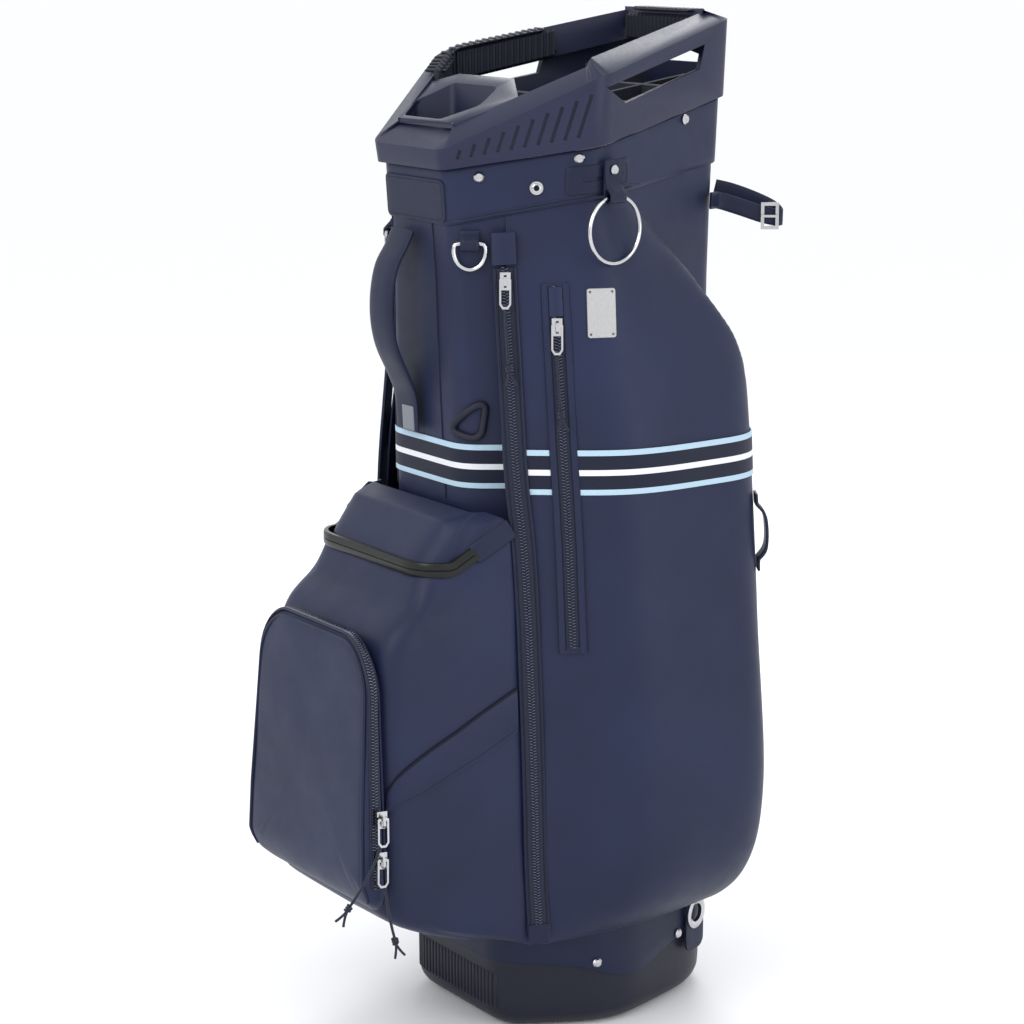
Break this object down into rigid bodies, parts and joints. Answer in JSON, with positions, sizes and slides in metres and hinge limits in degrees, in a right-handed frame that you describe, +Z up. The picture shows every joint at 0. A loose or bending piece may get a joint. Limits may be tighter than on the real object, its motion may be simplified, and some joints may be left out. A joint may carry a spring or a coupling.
{
  "type": "golf cart bag",
  "caption": "Upright golf cart bag with a moulded divider top, ribbed lift grips, a padded handle, zipped side and front pockets, a striped band and swinging rings.",
  "frame": {"origin": "the base cup's resting face, on the bag's upright axis", "axes": "+Z up the bag, -Y towards the ball pocket at the front, +X towards the side with the towel ring and the short zip"},
  "size_m": [0.3858, 0.463, 0.9042],
  "materials": {
    "moulded_base": "satin",
    "coated_leather": "satin grain",
    "moulded_top": "matte",
    "divider_fabric": "brushed",
    "grip_rubber": "matte",
    "nickel": "polished",
    "brushed_plate": "brushed",
    "webbing": "woven stripes",
    "zip_tape": "coil zip",
    "cord": "braided",
    "patch_rubber": "matte"
  },
  "bodies": {
    "bag": {"base_cup": "moulded_base", "base_trim": "coated_leather", "umbrella_tab": "coated_leather", "body_tube": "coated_leather", "collar_band": "coated_leather", "ring_patch": "coated_leather", "ring_tab": "coated_leather", "d_ring_tab_near": "coated_leather", "d_ring_tab_far": "coated_leather", "grab_handle": "coated_leather", "side_pocket_near": "coated_leather", "side_pocket_far": "coated_leather", "lower_pocket": "coated_leather", "valuables_pocket": "coated_leather", "ball_pocket": "coated_leather", "slash_panel": "coated_leather", "umbrella_strap": "coated_leather", "cart_strap_keeper": "coated_leather", "base_rivet_1": "nickel", "base_rivet_2": "nickel", "umbrella_eyelet": "nickel", "collar_rivet_1": "nickel", "collar_rivet_2": "nickel", "collar_rivet_3": "nickel", "snap_socket": "nickel", "ring_tab_rivet": "nickel", "buckle_frame": "nickel", "top_moulding": "moulded_top", "divider_row_1": "divider_fabric", "divider_row_2": "divider_fabric", "divider_row_3": "divider_fabric", "grip_near": "grip_rubber", "grip_far": "grip_rubber", "grip_rear": "grip_rubber", "front_patch": "patch_rubber", "triangle_loop": "patch_rubber", "stripe_side": "webbing", "stripe_far": "webbing", "stripe_front": "webbing", "long_zip": "zip_tape", "short_zip": "zip_tape", "ball_zip": "zip_tape", "valuables_zip": "zip_tape", "name_plate": "brushed_plate"},
    "long_zip_slider_body": {"long_zip_slider": "nickel", "long_zip_cord": "cord"},
    "long_zip_pull_body": {"long_zip_pull": "nickel"},
    "short_zip_slider_body": {"short_zip_slider": "nickel", "short_zip_cord": "cord"},
    "short_zip_pull_body": {"short_zip_pull": "nickel"},
    "ball_zip_upper_slider_body": {"ball_zip_upper_slider": "nickel", "ball_zip_upper_cord": "cord"},
    "ball_zip_upper_pull_body": {"ball_zip_upper_pull": "nickel"},
    "ball_zip_lower_slider_body": {"ball_zip_lower_slider": "nickel", "ball_zip_lower_cord": "cord"},
    "ball_zip_lower_pull_body": {"ball_zip_lower_pull": "nickel"},
    "towel_ring_body": {"towel_ring": "nickel"},
    "d_ring_near_body": {"d_ring_near": "nickel"},
    "d_ring_far_body": {"d_ring_far": "nickel"},
    "buckle_prong_body": {"buckle_prong": "nickel"}
  },
  "joints": [
    {"name": "long_zip_slide", "type": "slide", "parent": "bag", "child": "long_zip_slider_body", "axis": [0.0947, -0.0663, -0.9933], "range_m": [0, 0.12]},
    {"name": "long_zip_pull_swing", "type": "hinge", "parent": "long_zip_slider_body", "child": "long_zip_pull_body", "pos_m": [0.08837, -0.11281, 0.68623], "axis": [-0.5736, -0.8192, 0], "range_deg": [0, 60]},
    {"name": "short_zip_slide", "type": "slide", "parent": "bag", "child": "short_zip_slider_body", "axis": [0.1153, -0.0766, -0.9904], "range_m": [0, 0.09]},
    {"name": "short_zip_pull_swing", "type": "hinge", "parent": "short_zip_slider_body", "child": "short_zip_pull_body", "pos_m": [0.11571, -0.0784, 0.64763], "axis": [-0.5536, -0.8327, 0], "range_deg": [0, 60]},
    {"name": "ball_zip_upper_slide", "type": "slide", "parent": "bag", "child": "ball_zip_upper_slider_body", "axis": [-0.0032, 0.0007, 1], "range_m": [0, 0.085]},
    {"name": "ball_zip_upper_pull_swing", "type": "hinge", "parent": "ball_zip_upper_slider_body", "child": "ball_zip_upper_pull_body", "pos_m": [0.10792, -0.25221, 0.24153], "axis": [-0.2079, -0.9781, 0], "range_deg": [0, 60]},
    {"name": "ball_zip_lower_slide", "type": "slide", "parent": "bag", "child": "ball_zip_lower_slider_body", "axis": [-0.0342, 0.0073, -0.9994], "range_m": [0, 0.01]},
    {"name": "ball_zip_lower_pull_swing", "type": "hinge", "parent": "ball_zip_lower_slider_body", "child": "ball_zip_lower_pull_body", "pos_m": [0.10776, -0.25269, 0.20522], "axis": [-0.2079, -0.9781, 0], "range_deg": [0, 60]},
    {"name": "towel_ring_swing", "type": "hinge", "parent": "bag", "child": "towel_ring_body", "pos_m": [0.1303, -0.02911, 0.755], "axis": [0.0955, -0.9954, 0], "range_deg": [0, 70]},
    {"name": "d_ring_near_swing", "type": "hinge", "parent": "bag", "child": "d_ring_near_body", "pos_m": [0.06115, -0.13043, 0.714], "axis": [-0.5864, -0.81, 0], "range_deg": [0, 60]},
    {"name": "d_ring_far_swing", "type": "hinge", "parent": "bag", "child": "d_ring_far_body", "pos_m": [-0.06115, -0.13043, 0.714], "axis": [-0.5864, 0.81, 0], "range_deg": [0, 60]},
    {"name": "buckle_prong_swing", "type": "hinge", "parent": "bag", "child": "buckle_prong_body", "pos_m": [0.11086, 0.16686, 0.724], "axis": [0, 0, 1], "range_deg": [0, 75]}
  ]
}
